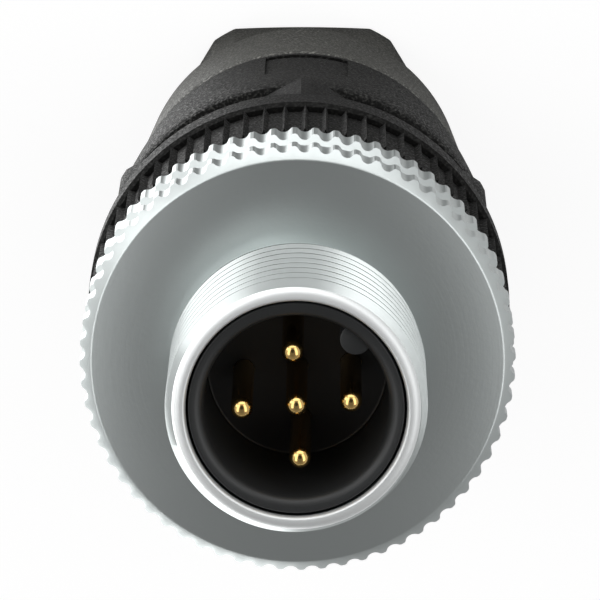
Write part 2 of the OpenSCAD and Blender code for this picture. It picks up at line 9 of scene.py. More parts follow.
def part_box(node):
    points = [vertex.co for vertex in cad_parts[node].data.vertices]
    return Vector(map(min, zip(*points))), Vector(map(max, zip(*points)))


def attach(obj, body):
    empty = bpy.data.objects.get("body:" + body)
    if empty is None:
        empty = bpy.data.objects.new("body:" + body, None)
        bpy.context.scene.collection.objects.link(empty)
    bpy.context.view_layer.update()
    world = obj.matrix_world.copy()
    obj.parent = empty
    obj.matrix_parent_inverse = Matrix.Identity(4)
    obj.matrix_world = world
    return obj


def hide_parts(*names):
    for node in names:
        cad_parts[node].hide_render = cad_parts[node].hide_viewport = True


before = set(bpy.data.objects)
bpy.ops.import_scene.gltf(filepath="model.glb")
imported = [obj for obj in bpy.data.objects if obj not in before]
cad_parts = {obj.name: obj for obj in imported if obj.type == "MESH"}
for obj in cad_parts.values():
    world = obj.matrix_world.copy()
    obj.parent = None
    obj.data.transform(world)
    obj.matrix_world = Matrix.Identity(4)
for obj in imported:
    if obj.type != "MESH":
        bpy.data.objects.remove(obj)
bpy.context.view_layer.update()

bl_info = {
    "name": "M12 Circular Connector",
    "version": (1, 0, 0),
    "blender": (4, 5, 0),
    "location": "3D View > Sidebar > Connector",
    "description": "Builds the visible pieces and finishes of an M12 circular cable connector",
    "category": "Object",
}

MM = 0.001
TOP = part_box("coupling_ring")[1].z
FULL_TURN = 2 * math.pi
# Points nearer than this are welded, and a point this near a ring's radius lies on the ring
WELD = 2e-7
NO_LENGTH = 1e-7
ON_RING = 5e-7
STEPS_PER_TOOTH = 12
# Where the nose sits in the ring, behind the mating end
NOSE_SEAT = 10.3 * MM
# Brightness of the world by its direction along Z, along Y and towards the camera
OVERHEAD = [(0.0, 0.7), (0.35, 0.75), (0.85, 0.27)]
BACK_TO_FRONT = [(-1.0, 1.0), (0.0, 1.0), (0.9, 0.45)]
CAMERA_OPENING = [(0.9, 1.0), (0.965, 0.12)]
# Painted light on the floor: its pale sides, and a painted glow on the +X side, a glowing card that
# is no lamp, by the distance along X in floor units
FLOOR_UNIT = 30 * MM
FLOOR_PAINTED_SIDE_LIGHT = [(-0.6, 0.8), (-0.2, 0.05), (0.2, 0.05), (0.6, 0.9)]
FLOOR_PAINTED_GLOW = [(0.2, 0.0), (0.55, 1.0)]
PAINTED_GLOW_STRENGTH = 1.8
# Direction from the part, distance and size in metres, and strength in watts of each lamp
LAMPS = {
    "back_softbox": ((0, -0.93, 0.36), 0.5, (0.6, 0.3), 0.72),
    "left_softbox": ((0.64, -0.12, 0.76), 0.45, (0.66, 0.2), 0.66),
    "right_softbox": ((-0.64, -0.12, 0.76), 0.45, (0.66, 0.2), 0.66),
    "left_side": ((0.8, -0.45, 0.4), 0.5, (0.2, 0.2), 0.2),
}


# Settings. A place along the axis is given as its distance behind the mating end

def length(name, description, millimetres):
    return FloatProperty(
        name=name, description=description, default=millimetres * MM, precision=6, unit="LENGTH"
    )


def angle(name, description, degrees):
    return FloatProperty(
        name=name, description=description, default=math.radians(degrees), unit="ROTATION"
    )


def count(name, description, number):
    return IntProperty(name=name, description=description, default=number, min=3)


def share(name, description, value):
    return FloatProperty(
        name=name, description=description, default=value, min=0.0, max=1.0, subtype="FACTOR"
    )


def colour(name, description, value):
    return FloatVectorProperty(
        name=name, description=description, default=value, size=3, min=0.0, max=1.0, subtype="COLOR"
    )


class NoseSettings(bpy.types.PropertyGroup):
    """Sizes of the threaded nose"""

    thread_radius: length("Thread radius", "Radius over the thread crests", 6.0)
    thread_pitch: length("Thread pitch", "Distance between two turns of the thread", 1.0)
    thread_depth: length("Thread depth", "Depth of the thread below its crests", 0.6)
    thread_length: length("Thread length", "Length of the threaded part", 7.9)
    relief_radius: length("Relief radius", "Radius of the relief behind the thread", 5.5)
    bore_radius: length("Bore radius", "Radius of the bore of the nose", 5.05)
    face_outer: length("Face outer radius", "Where the front face meets its outer rounding", 5.25)
    face_inner: length("Face inner radius", "Where the front face meets its inner rounding", 5.2)
    bead_radius: length("Bead radius", "Outer radius of the rounded rim", 5.68)
    bead_end: length("Bead end", "Where the front rounding meets the lead chamfer", 0.3)


class KnurlSettings(bpy.types.PropertyGroup):
    """Sizes of the knurled ring"""

    crest_radius: length("Crest radius", "Radius over the lands of the knurl", 10.25)
    face_radius: length("Face radius", "Radius of the flat front face", 9.7)
    front: length("Front face", "Where the front face is", 9.1)
    bevel_length: length("Bevel length", "Axial size of the front bevel", 0.5)
    groove_front: length("Groove front", "Where the groove begins", 10.65)
    groove_rear: length("Groove rear", "Where the groove ends", 12.5)
    groove_depth: length("Groove depth", "Depth of the groove between the rows", 0.45)
    rear: length("Rear face", "Where the rear face is", 14.15)
    rear_bevel: length("Rear bevel", "Size of the rear bevel", 0.15)
    flutes: count("Flutes", "Number of flutes round each row", 64)
    flute_radius: length("Flute radius", "Radius of each flute", 0.38)
    flute_depth: length("Flute depth", "Depth of each flute", 0.25)
    flute_turn: angle("Flute turn", "Turn of the flutes and of the collar's ribs", -1.9)


class CarrierSettings(bpy.types.PropertyGroup):
    """Sizes of the contact carrier and the contacts"""

    cup_radius: length("Cup radius", "Outer radius of the cup", 4.95)
    cavity_radius: length("Cavity radius", "Inner radius of the cup", 4.25)
    floor: length("Floor", "Where the cup ends", 8.3)
    rim_round: length("Rim round", "Rounding of the rim's outer edge", 0.1)
    mouth_round: length("Mouth round", "Rounding of the rim's inner edge", 0.62)
    stem_radius: length("Stem radius", "Radius of the stem", 4.35)
    key_radius: length("Key radius", "Radius of the coding key's nose", 0.72)
    key_centre: length("Key centre", "Distance of the key's centre from the axis", 4.1)
    pattern_turn: angle("Pattern turn", "Turn of the contact pattern", 3.8)
    key_turn: angle("Key turn", "Angle of the key from the first contact", 225)
    circle_radius: length("Contact circle", "Distance of the outer contacts from the axis", 2.5)
    contact_radius: length("Contact radius", "Radius of a contact", 0.5)
    shank_radius: length("Shank radius", "Radius of a contact's shank", 0.75)
    tip: length("Contact tip", "Where the contacts end", 0.6)
    shank_front: length("Shank front", "Where a contact's shank begins", 8.75)


class CollarSettings(bpy.types.PropertyGroup):
    """Sizes of the grip collar"""

    rib_front: length("Ribs begin", "Where the ribbed band begins", 14.35)
    rim_front: length("Rim begins", "Where the plain rim begins", 19.9)
    hexagon_front: length("Hexagon begins", "Where the wrench hexagon begins", 22.1)
    hexagon_rear: length("Hexagon ends", "Where the wrench hexagon ends", 26.2)
    spigot_rear: length("Spigot ends", "Where the rear spigot ends", 30.2)
    root_radius: length("Root radius", "Radius between the ribs", 9.8)
    rib_height: length("Rib height", "Height of each rib over the root", 0.35)
    rib_half_width: length("Rib half width", "Half the width of a rib at its root", 0.15)
    rim_radius: length("Rim radius", "Radius of the plain rim", 10.25)
    hexagon_size: length("Wrench size", "Size across the flats of the hexagon", 18.0)
    hexagon_turn: angle("Hexagon turn", "Turn of the hexagon", 28)
    spigot_radius: length("Spigot radius", "Radius over the spigot's thread", 8.0)
    ribs: count("Ribs", "Number of ribs round the band", 64)


class SleeveSettings(bpy.types.PropertyGroup):
    """Sizes of the sleeve"""

    front: length("Front", "Where the sleeve begins", 26.3)
    rear: length("Rear shoulder", "Where the sleeve's shoulder is", 39.2)
    spigot_rear: length("Spigot ends", "Where the sleeve's own spigot ends", 47.0)
    front_radius: length("Front radius", "Radius at the front", 9.85)
    rear_radius: length("Rear radius", "Radius at the shoulder", 8.95)
    spigot_radius: length("Spigot radius", "Radius over the spigot's thread", 7.0)
    recess_front: length("Recess begins", "Where the marker recess begins", 30.5)
    recess_rear: length("Recess ends", "Where the marker recess ends", 38.2)
    recess_width: length("Recess width", "Width of the marker recess", 4.2)
    recess_depth: length("Recess depth", "Depth of the marker recess", 0.14)
    recess_turn: angle("Recess turn", "Angle of the marker recess", 268)


class NutSettings(bpy.types.PropertyGroup):
    """Sizes of the clamping nut"""

    front: length("Front", "Where the nut begins", 39.4)
    hexagon_front: length("Hexagon begins", "Where the hexagon begins", 48.8)
    skirt_radius: length("Skirt radius", "Radius at the front of the skirt", 8.95)
    skirt_rear_radius: length("Skirt rear radius", "Radius at the rear of the skirt", 8.45)
    front_round: length("Front round", "Rounding of the front rim", 0.45)
    hexagon_size: length("Wrench size", "Size across the flats of the hexagon", 15.1)
    corner_radius: length("Corner radius", "Radius left over the corners", 8.375)
    bore_radius: length("Bore radius", "Radius inside the thread", 7.06)
    hole_radius: length("Cable hole radius", "Radius of the cable hole", 4.2)


class FinishSettings(bpy.types.PropertyGroup):
    """Colours and gloss of the finishes"""

    nickel: colour("Nickel", "Colour of the coupling ring", (0.61, 0.65, 0.645))
    # Painted highlight: a much paler nickel than the ring's, painted on the nose's rim for its
    # bright shine
    painted_highlight_nickel: colour("Nickel with painted highlight", "Colour of the rim of the nose", (0.92, 0.94, 0.94))
    nose_roughness: share("Nose roughness", "Roughness of the threaded nose", 0.28)
    rim_roughness: share("Rim roughness", "Roughness of the nose's rim", 0.54)
    ring_roughness: share("Ring roughness", "Roughness of the knurled ring", 0.36)
    gold: colour("Gold", "Colour of the contacts", (0.9, 0.6, 0.22))
    carrier: colour("Carrier", "Colour of the contact carrier", (0.018, 0.019, 0.0195))
    body: colour("Body", "Colour of collar and sleeve", (0.006, 0.006, 0.0056))
    nut: colour("Nut", "Colour of the clamping nut", (0.055, 0.055, 0.05))
    block: colour("Block", "Colour of the terminal block", (0.1, 0.1, 0.1))
    rubber: colour("Rubber", "Colour of the seals", (0.012, 0.012, 0.012))
    steel: colour("Steel", "Colour of screws and clip", (0.55, 0.56, 0.58))
    brass: colour("Brass", "Colour of the wire clamps", (0.7, 0.5, 0.24))
    grain: length("Grain", "Size of the plastic's grain", 0.13)


class StageSettings(bpy.types.PropertyGroup):
    """Camera, floor and lamps"""

    tilt: angle("Tilt", "Angle between the line of sight and the axis", 14.3)
    swing: angle("Swing", "Sideways angle of the line of sight", 0.38)
    distance: length("Distance", "Distance of the camera from the mating end", 276)
    frame_right: length("Frame right", "How far right of the mating end the camera aims", 0.17)
    frame_up: length("Frame up", "How far above the mating end the camera aims", 5.01)
    lens: length("Lens", "Focal length", 364.3)
    floor_size: length("Floor size", "Width of the floor", 4000)


# Modelling helpers

def depth(distance):
    """Height of a point at that distance behind the mating end."""
    return TOP - distance


def deselect():
    if bpy.context.mode != "OBJECT":
        bpy.ops.object.mode_set(mode="OBJECT")
    bpy.ops.object.select_all(action="DESELECT")


def make_active(piece):
    deselect()
    piece.select_set(True)
    bpy.context.view_layer.objects.active = piece


def open_edit(piece):
    make_active(piece)
    bpy.ops.object.mode_set(mode="EDIT")
    bpy.ops.mesh.select_mode(type="VERT")
    bpy.ops.mesh.select_all(action="DESELECT")


def close_edit():
    bpy.ops.object.mode_set(mode="OBJECT")


def pick_points(piece, wanted):
    """Selects the points whose place passes the test, and tells how many they are."""
    shape = bmesh.from_edit_mesh(piece.data)
    picked = 0
    for point in shape.verts:
        point.select = bool(wanted(point.co))
        picked += point.select
    shape.select_flush_mode()
    bmesh.update_edit_mesh(piece.data)
    return picked


def settle(piece):
    """Puts the piece's place into its mesh."""
    make_active(piece)
    bpy.ops.object.transform_apply(location=True, rotation=True, scale=True)
    return piece


def take_new(name):
    """The primitive that was just added, settled and named."""
    piece = settle(bpy.context.object)
    piece.name = name
    return piece


def apply_modifier(piece, kind, **values):
    make_active(piece)
    modifier = piece.modifiers.new(kind, kind)
    for key, value in values.items():
        setattr(modifier, key, value)
    bpy.ops.object.modifier_apply(modifier=modifier.name)


def weld_and_face_out(piece):
    """Closes a piece's seams and poles and turns its faces outwards."""
    open_edit(piece)
    bpy.ops.mesh.select_all(action="SELECT")
    bpy.ops.mesh.remove_doubles(threshold=WELD)
    bpy.ops.mesh.dissolve_degenerate(threshold=NO_LENGTH)
    bpy.ops.mesh.normals_make_consistent(inside=False)
    close_edit()


def turn_right_way_out(piece):
    """Flips a closed piece that still encloses a negative volume."""
    open_edit(piece)
    if bmesh.from_edit_mesh(piece.data).calc_volume(signed=True) < 0:
        bpy.ops.mesh.select_all(action="SELECT")
        bpy.ops.mesh.flip_normals()
    close_edit()


def smooth_below(piece, degrees):
    make_active(piece)
    bpy.ops.object.shade_smooth_by_angle(angle=math.radians(degrees))
    return piece


def close_up(piece, degrees):
    """Welds the piece, faces it outwards and smooths its edges below that angle."""
    weld_and_face_out(piece)
    turn_right_way_out(piece)
    return smooth_below(piece, degrees)


def draw_outline(name, points):
    """A closed outline through [radius, height] points in the XZ plane, extruded from one point."""
    deselect()
    start = Vector((points[0][0], 0, points[0][1]))
    bpy.ops.mesh.primitive_plane_add(size=MM, location=start)
    piece = take_new(name)
    open_edit(piece)
    bpy.ops.mesh.select_all(action="SELECT")
    bpy.ops.mesh.merge(type="CENTER")
    for before, after in zip(points, points[1:] + points[:1]):
        step = (after[0] - before[0], 0, after[1] - before[1])
        bpy.ops.mesh.extrude_region_move(TRANSFORM_OT_translate={"value": step})
    bpy.ops.mesh.select_all(action="SELECT")
    bpy.ops.mesh.remove_doubles(threshold=WELD)
    close_edit()
    return piece


def turn_on_lathe(name, points, steps, start=0.0):
    """A solid turned about Z from a closed outline of [radius, height] points."""
    piece = draw_outline(name, points)
    open_edit(piece)
    bpy.ops.mesh.select_all(action="SELECT")
    if start:
        bpy.ops.transform.rotate(value=-start, orient_axis="Z", center_override=(0, 0, 0))
    bpy.ops.mesh.spin(
        steps=steps, angle=FULL_TURN, center=(0, 0, 0), axis=(0, 0, 1), use_auto_merge=True
    )
    close_edit()
    weld_and_face_out(piece)
    return piece


def rounded(outline, corner, size, pieces=3):
    """The outline with one corner replaced by a small arc."""
    before, point, after = (Vector(outline[(corner + k) % len(outline)]) for k in (-1, 0, 1))
    first = point + (before - point).normalized() * size
    last = point + (after - point).normalized() * size
    arc = []
    for step in range(pieces + 1):
        t = step / pieces
        arc.append(tuple(first * (1 - t) ** 2 + point * 2 * t * (1 - t) + last * t ** 2))
    return outline[:corner] + arc + outline[corner + 1:]


def quarter_round(radius, height, across, down, outwards=True, pieces=8):
    """A quarter of an ellipse, across and down from its top at [radius, height], or back up."""
    arc = [
        (radius + across * math.sin(a), height - down * (1 - math.cos(a)))
        for a in [FULL_TURN / 4 * k / pieces for k in range(pieces + 1)]
    ]
    return arc if outwards else arc[::-1]


def ease_corners(outline, corners, pieces=3):
    """Rounds several corners, given as {index: size}."""
    for corner in sorted(corners, reverse=True):
        outline = rounded(outline, corner, corners[corner], pieces)
    return outline


def combine(piece, tool, operation):
    """Cuts, joins or crosses a piece with a tool, and removes the tool."""
    apply_modifier(piece, "BOOLEAN", object=tool, operation=operation, solver="EXACT")
    bpy.data.objects.remove(tool)


def soften_edges(piece, width, segments=2, degrees=35):
    apply_modifier(
        piece, "BEVEL", width=width, segments=segments, limit_method="ANGLE",
        angle_limit=math.radians(degrees), harden_normals=False,
    )


def add_block(name, low, high):
    deselect()
    centre = [(a + b) / 2 for a, b in zip(low, high)]
    size = [b - a for a, b in zip(low, high)]
    bpy.ops.mesh.primitive_cube_add(size=1, location=centre, scale=size)
    return take_new(name)


def add_rod(name, radius, low, high, place=(0.0, 0.0), sides=48, turn=0.0):
    """A round or polygonal bar; turn is the angle of its first corner from +X."""
    deselect()
    bpy.ops.mesh.primitive_cylinder_add(
        vertices=sides, radius=radius, depth=high - low,
        location=(place[0], place[1], (low + high) / 2), rotation=(0, 0, turn - FULL_TURN / 4),
    )
    return take_new(name)


def add_hexagon(name, size, low, high, turn=0.0):
    """A hexagonal bar of that size across its flats."""
    return add_rod(name, size / 2 / math.cos(FULL_TURN / 12), low, high, sides=6, turn=turn)


def turn_about_axis(piece, turn):
    piece.rotation_euler = (0, 0, turn)
    settle(piece)


def copy_of(piece, name):
    twin = piece.copy()
    twin.data = piece.data.copy()
    twin.name = name
    bpy.context.scene.collection.objects.link(twin)
    return twin


def at_angle(radius, turn):
    return radius * math.cos(turn), radius * math.sin(turn)


def finish_piece(piece, body, node, material):
    piece.data.materials.clear()
    piece.data.materials.append(material)
    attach(piece, body)
    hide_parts(node)


# Finishes

def set_inputs(node, values):
    """Sets the node's inputs, which values names with underscores for spaces."""
    for name, value in values.items():
        node.inputs[name.replace("_", " ")].default_value = value
    return node


def add_node(tree, kind, *sources, operation=None, **values):
    """A node whose first inputs are fed by the sources and whose named inputs have values."""
    node = tree.nodes.new(kind)
    if operation:
        node.operation = operation
    for source, socket in zip(sources, node.inputs):
        tree.links.new(source, socket)
    return set_inputs(node, values)


def new_finish(name, **values):
    """A material, its node tree, and its shader with those values."""
    material = bpy.data.materials.new(name)
    material.use_nodes = True
    tree = material.node_tree
    return material, tree, set_inputs(tree.nodes["Principled BSDF"], values)


def new_metal(name, tint, roughness):
    return new_finish(name, Base_Color=(*tint, 1), Metallic=1.0, Roughness=roughness)


def object_place(tree):
    return add_node(tree, "ShaderNodeTexCoord").outputs["Object"]


def add_noise(tree, place, size, detail):
    noise = add_node(tree, "ShaderNodeTexNoise", place, Scale=1 / size, Detail=detail)
    return noise.outputs["Fac"]


def add_bump(tree, height, strength, distance):
    bump = add_node(tree, "ShaderNodeBump", Strength=strength, Distance=distance)
    tree.links.new(height, bump.inputs["Height"])
    return bump


def add_grain(tree, shader, size, strength, distance, detail=2.0):
    """Gives the shader a fine grain, and hands back the grain's height."""
    height = add_noise(tree, object_place(tree), size, detail)
    bump = add_bump(tree, height, strength, distance)
    tree.links.new(bump.outputs["Normal"], shader.inputs["Normal"])
    return height


def nickel_finish(name, tint, roughness, tool_marks):
    """Bright nickel plate with the fine rings that a lathe leaves, and fine pits."""
    material, tree, shader = new_metal(name, tint, roughness)
    place = object_place(tree)
    x, y, z = add_node(tree, "ShaderNodeSeparateXYZ", place).outputs
    flat = add_node(tree, "ShaderNodeCombineXYZ", x, y)
    radius = add_node(tree, "ShaderNodeVectorMath", flat.outputs[0], operation="LENGTH")
    along = add_node(tree, "ShaderNodeCombineXYZ", radius.outputs["Value"], z)
    rings = add_noise(tree, along.outputs[0], size=0.09 * MM, detail=3.0)
    marks = add_bump(tree, rings, tool_marks, distance=0.004 * MM)
    pits = add_noise(tree, place, size=0.22 * MM, detail=4.0)
    fine = add_bump(tree, pits, strength=0.5, distance=0.008 * MM)
    tree.links.new(marks.outputs["Normal"], fine.inputs["Normal"])
    tree.links.new(fine.outputs["Normal"], shader.inputs["Normal"])
    return material


def plain_metal_finish(name, tint, roughness, size=0.25 * MM, strength=0.2, distance=0.004 * MM):
    """Metal with an even, fine grain."""
    material, tree, shader = new_metal(name, tint, roughness)
    add_grain(tree, shader, size, strength, distance)
    return material


def smooth_plastic_finish(name, tint, roughness, shine=0.5):
    material, tree, shader = new_finish(
        name, Base_Color=(*tint, 1), Roughness=roughness, Specular_IOR_Level=shine
    )
    add_grain(tree, shader, size=0.5 * MM, strength=0.15, distance=0.01 * MM)
    return material


def grained_plastic_finish(name, tint, size, roughness, strength, shine, painted_glint, gloss):
    """Moulded plastic with a spark-eroded grain, whose peaks catch the light, with painted glints
    on them.

    The peaks are painted glints, the glint factor times as pale as the tint, and smoother than the
    rest by gloss.
    """
    material, tree, shader = new_finish(
        name, Roughness=roughness, Specular_IOR_Level=shine, Sheen_Weight=0.015,
        Sheen_Roughness=0.4,
    )
    height = add_grain(tree, shader, size, strength, distance=0.05 * MM, detail=3.0)
    # Painted glints: the grain's peaks are painted paler than the tint; the hollows keep 0.8 of it
    shades = add_node(tree, "ShaderNodeValToRGB", height)
    hollow, peak = shades.color_ramp.elements
    hollow.position, peak.position = 0.52, 0.68
    hollow.color = (*(c * 0.8 for c in tint), 1)
    peak.color = (*(min(1.0, c * painted_glint) for c in tint), 1)
    tree.links.new(shades.outputs["Color"], shader.inputs["Base Color"])
    polish = add_node(
        tree, "ShaderNodeMapRange", height,
        From_Min=0.42, From_Max=0.66, To_Min=roughness + 0.2, To_Max=roughness - gloss,
    )
    tree.links.new(polish.outputs["Result"], shader.inputs["Roughness"])
    return material


# Pieces

def threaded_outline(inner, outer, high, low, pitch=MM, bite=0.45 * MM):
    """Outline of a spigot with a chamfered end, whose thread shows as rings."""
    chamfer = 0.3 * MM
    outline = [(inner, low), (outer - chamfer, low)]
    height = low + chamfer
    while height + pitch < high:
        outline += [
            (outer, height), (outer, height + pitch * 0.2),
            (outer - bite, height + pitch * 0.5), (outer - bite, height + pitch * 0.62),
        ]
        height += pitch
    outline += [(outer, height), (outer, high), (inner, high)]
    return outline


def sleeve_outline(sleeve, inset=0.0, steps=16):
    """Outer edge of the sleeve, from the rounded front over a slight belly to the shoulder."""
    front, rear = sleeve.front_radius - inset, sleeve.rear_radius - inset
    start = sleeve.front + 1.5 * MM
    rounding, half_way, belly = 0.3 * MM, 0.09 * MM, 0.35
    edge = [
        (front - rounding, depth(sleeve.front)),
        (front - half_way, depth(sleeve.front + half_way)),
        (front, depth(sleeve.front + rounding)),
    ]
    for step in range(steps + 1):
        t = step / steps
        drop = (front - rear) * (belly * t * t + (1 - belly) * t)
        edge.append((front - drop, depth(start + (sleeve.rear - start) * t)))
    return edge


def helical_cutter(nose):
    """A coil with the thread's groove as its section, long enough to run out at both ends."""
    half_root = 0.085 * MM
    half_crest = 0.44 * MM
    root = nose.thread_radius - nose.thread_depth
    crest = nose.thread_radius + 0.01 * MM
    outside = nose.thread_radius + 0.3 * MM
    start = depth(nose.thread_length) - 0.2 * MM
    section = [
        (root, start - half_root),
        (crest, start - half_crest),
        (outside, start - half_crest),
        (outside, start + half_crest),
        (crest, start + half_crest),
        (root, start + half_root),
    ]
    coil = draw_outline("thread_cutter", section)
    apply_modifier(
        coil, "SCREW", axis="Z", angle=FULL_TURN, steps=96, render_steps=96, iterations=10,
        screw_offset=nose.thread_pitch, use_merge_vertices=False,
    )
    open_edit(coil)
    bpy.ops.mesh.select_all(action="SELECT")
    bpy.ops.mesh.remove_doubles(threshold=WELD)
    bpy.ops.mesh.select_all(action="DESELECT")
    bpy.ops.mesh.select_non_manifold()
    bpy.ops.mesh.fill_holes(sides=0)
    bpy.ops.mesh.select_all(action="SELECT")
    bpy.ops.mesh.normals_make_consistent(inside=False)
    close_edit()
    return coil


class CONNECTOR_OT_nose(bpy.types.Operator):
    """Turns the nose of the coupling ring and cuts its thread"""

    bl_idname = "connector.nose"
    bl_label = "Threaded nose"
    bl_options = {"REGISTER", "UNDO"}

    def execute(self, context):
        nose = context.scene.connector_nose
        finishes = context.scene.connector_finishes
        seat = depth(NOSE_SEAT)
        bead = depth(nose.bead_end)
        shoulder = nose.bead_radius
        outline = [
            (nose.bore_radius, seat),
            (nose.bore_radius, bead),
            (shoulder, bead),
            (nose.thread_radius, bead - (nose.thread_radius - shoulder)),
            (nose.thread_radius, depth(nose.thread_length)),
            (nose.relief_radius, depth(nose.thread_length + 0.5 * MM)),
            (nose.relief_radius, seat),
        ]
        piece = turn_on_lathe("coupling_nose", outline, 144)
        combine(piece, helical_cutter(nose), "DIFFERENCE")
        close_up(piece, 30)
        finish_piece(
            piece, "ring", "coupling_ring",
            nickel_finish("nose_nickel", finishes.nickel, finishes.nose_roughness, tool_marks=0.35),
        )
        inner, outer, height = nose.face_inner, nose.face_outer, nose.bead_end
        rim = turn_on_lathe(
            "coupling_nose_rim",
            quarter_round(inner, TOP, nose.bore_radius - inner, height, outwards=False)
            + quarter_round(outer, TOP, shoulder - outer, height), 144,
        )
        smooth_below(rim, 40)
        finish_piece(
            # Painted highlight: the rim is the ring's nickel, painted much paler for its bright
            # shine
            rim, "ring", "coupling_ring",
            nickel_finish(
                "rim_painted_highlight", finishes.painted_highlight_nickel, finishes.rim_roughness, tool_marks=1.0
            ),
        )
        return {"FINISHED"}


def press_rows(piece, total, turn, radius_at, rings):
    """Moves the points of a turned band to the radius that a tooth has at their angle.

    rings lists (height, radius, slope): a point on that ring moves along the neighbouring face by
    slope times its change of radius, so that a bevel keeps its cone.
    """
    pitch = FULL_TURN / total
    per_tooth = STEPS_PER_TOOTH
    for place in range(per_tooth // 2 + 1):
        offset = place * pitch / per_tooth
        for height, radius, slope in rings:
            target = radius_at(offset, radius)
            if abs(target - radius) < WELD / 20:
                continue

            def on_ring(point):
                reach = math.hypot(point.x, point.y)
                if abs(point.z - height) > WELD or abs(reach - radius) > ON_RING:
                    return False
                around = (math.atan2(point.y, point.x) + FULL_TURN / 4 - turn) % pitch
                return abs(min(around, pitch - around) - offset) < pitch / per_tooth / 4

            if not pick_points(piece, on_ring):
                raise RuntimeError(f"{piece.name} has no points at height {height}")
            factor = target / radius
            bpy.ops.transform.resize(value=(factor, factor, 1), center_override=(0, 0, height))
            if slope:
                bpy.ops.transform.translate(value=(0, 0, slope * (radius - target)))


class CONNECTOR_OT_knurl(bpy.types.Operator):
    """Turns the knurled ring and presses its flutes"""

    bl_idname = "connector.knurl"
    bl_label = "Knurled ring"
    bl_options = {"REGISTER", "UNDO"}

    def execute(self, context):
        ring = context.scene.connector_knurl
        nose = context.scene.connector_nose
        finishes = context.scene.connector_finishes
        crest, floor = ring.crest_radius, ring.crest_radius - ring.groove_depth
        bevel_end = ring.front + ring.bevel_length
        edge = 0.05 * MM
        slope = ring.bevel_length / (crest - ring.face_radius)
        bore = nose.relief_radius - 0.25 * MM
        neck, room, room_front = 4.45 * MM, 6.95 * MM, 11.5 * MM
        outline = [
            (bore, depth(ring.front)),
            (ring.face_radius - edge, depth(ring.front)),
            (ring.face_radius, depth(ring.front + edge * 0.35)),
            (ring.face_radius + edge, depth(ring.front + edge * slope)),
            (crest, depth(bevel_end)),
            (crest, depth(ring.groove_front)),
            (floor, depth(ring.groove_front + ring.groove_depth)),
            (floor, depth(ring.groove_rear - ring.groove_depth)),
            (crest, depth(ring.groove_rear)),
            (crest, depth(ring.rear - ring.rear_bevel)),
            (crest - ring.rear_bevel, depth(ring.rear)),
            (room, depth(ring.rear)),
            (room, depth(room_front)),
            (neck, depth(room_front)),
            (neck, depth(NOSE_SEAT)),
            (bore, depth(NOSE_SEAT)),
        ]
        steps = ring.flutes * STEPS_PER_TOOTH
        piece = turn_on_lathe("coupling_knurl", outline, steps, ring.flute_turn)
        centre = crest + ring.flute_radius - ring.flute_depth

        def fluted(offset, radius):
            side = centre * math.sin(offset)
            if abs(side) >= ring.flute_radius:
                return radius
            hollow = math.sqrt(ring.flute_radius ** 2 - side ** 2)
            return min(radius, centre * math.cos(offset) - hollow)

        open_edit(piece)
        press_rows(piece, ring.flutes, ring.flute_turn, fluted, [
            (depth(bevel_end), crest, slope),
            (depth(ring.groove_front), crest, -1.0),
            (depth(ring.groove_rear), crest, 1.0),
            (depth(ring.rear - ring.rear_bevel), crest, -0.7),
            (depth(ring.rear), crest - ring.rear_bevel, 0),
        ])
        close_edit()
        close_up(piece, 22)
        finish_piece(
            piece, "ring", "coupling_ring",
            nickel_finish("ring_nickel", finishes.nickel, finishes.ring_roughness, tool_marks=0.7),
        )
        return {"FINISHED"}


class CONNECTOR_OT_carrier(bpy.types.Operator):
    """Models the contact carrier with its coding key"""

    bl_idname = "connector.carrier"
    bl_label = "Contact carrier"
    bl_options = {"REGISTER", "UNDO"}

    def execute(self, context):
        cup = context.scene.connector_carrier
        finishes = context.scene.connector_finishes
        low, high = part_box("contact_insert")
        shoulder = depth(10.2 * MM)
        corner = 0.15 * MM
        outline = [
            (0.0, depth(cup.floor)),
            (cup.cavity_radius, depth(cup.floor)),
            (cup.cavity_radius, high.z),
            (cup.cup_radius, high.z),
            (cup.cup_radius, shoulder),
            (cup.stem_radius, shoulder),
            (cup.stem_radius, low.z),
            (0.0, low.z),
        ]
        outline = ease_corners(outline, {1: corner, 2: cup.mouth_round, 3: cup.rim_round}, 6)
        piece = turn_on_lathe("contact_carrier", outline, 128)
        place = at_angle(cup.key_centre, cup.pattern_turn + cup.key_turn)
        root, front = depth(cup.floor + 0.4 * MM), depth(0.9 * MM)
        key = add_rod("coding_key", cup.key_radius, root, front, place, 32)
        soften_edges(key, 0.06 * MM, 2)
        combine(piece, key, "UNION")
        holes = (
            (cup.contact_radius + 0.015 * MM, depth(cup.floor - MM)),
            (cup.shank_radius + 0.03 * MM, depth(cup.shank_front - 0.05 * MM)),
        )
        places = [(0.0, 0.0)] + [
            at_angle(cup.circle_radius, cup.pattern_turn + k * FULL_TURN / 4) for k in range(4)
        ]
        for place in places:
            for radius, end in holes:
                hole = add_rod("contact_hole", radius, low.z - MM, end, place, 40)
                combine(piece, hole, "DIFFERENCE")
        close_up(piece, 35)
        finish_piece(
            piece, "carrier", "contact_insert",
            smooth_plastic_finish("carrier_black", finishes.carrier, roughness=0.42),
        )
        return {"FINISHED"}


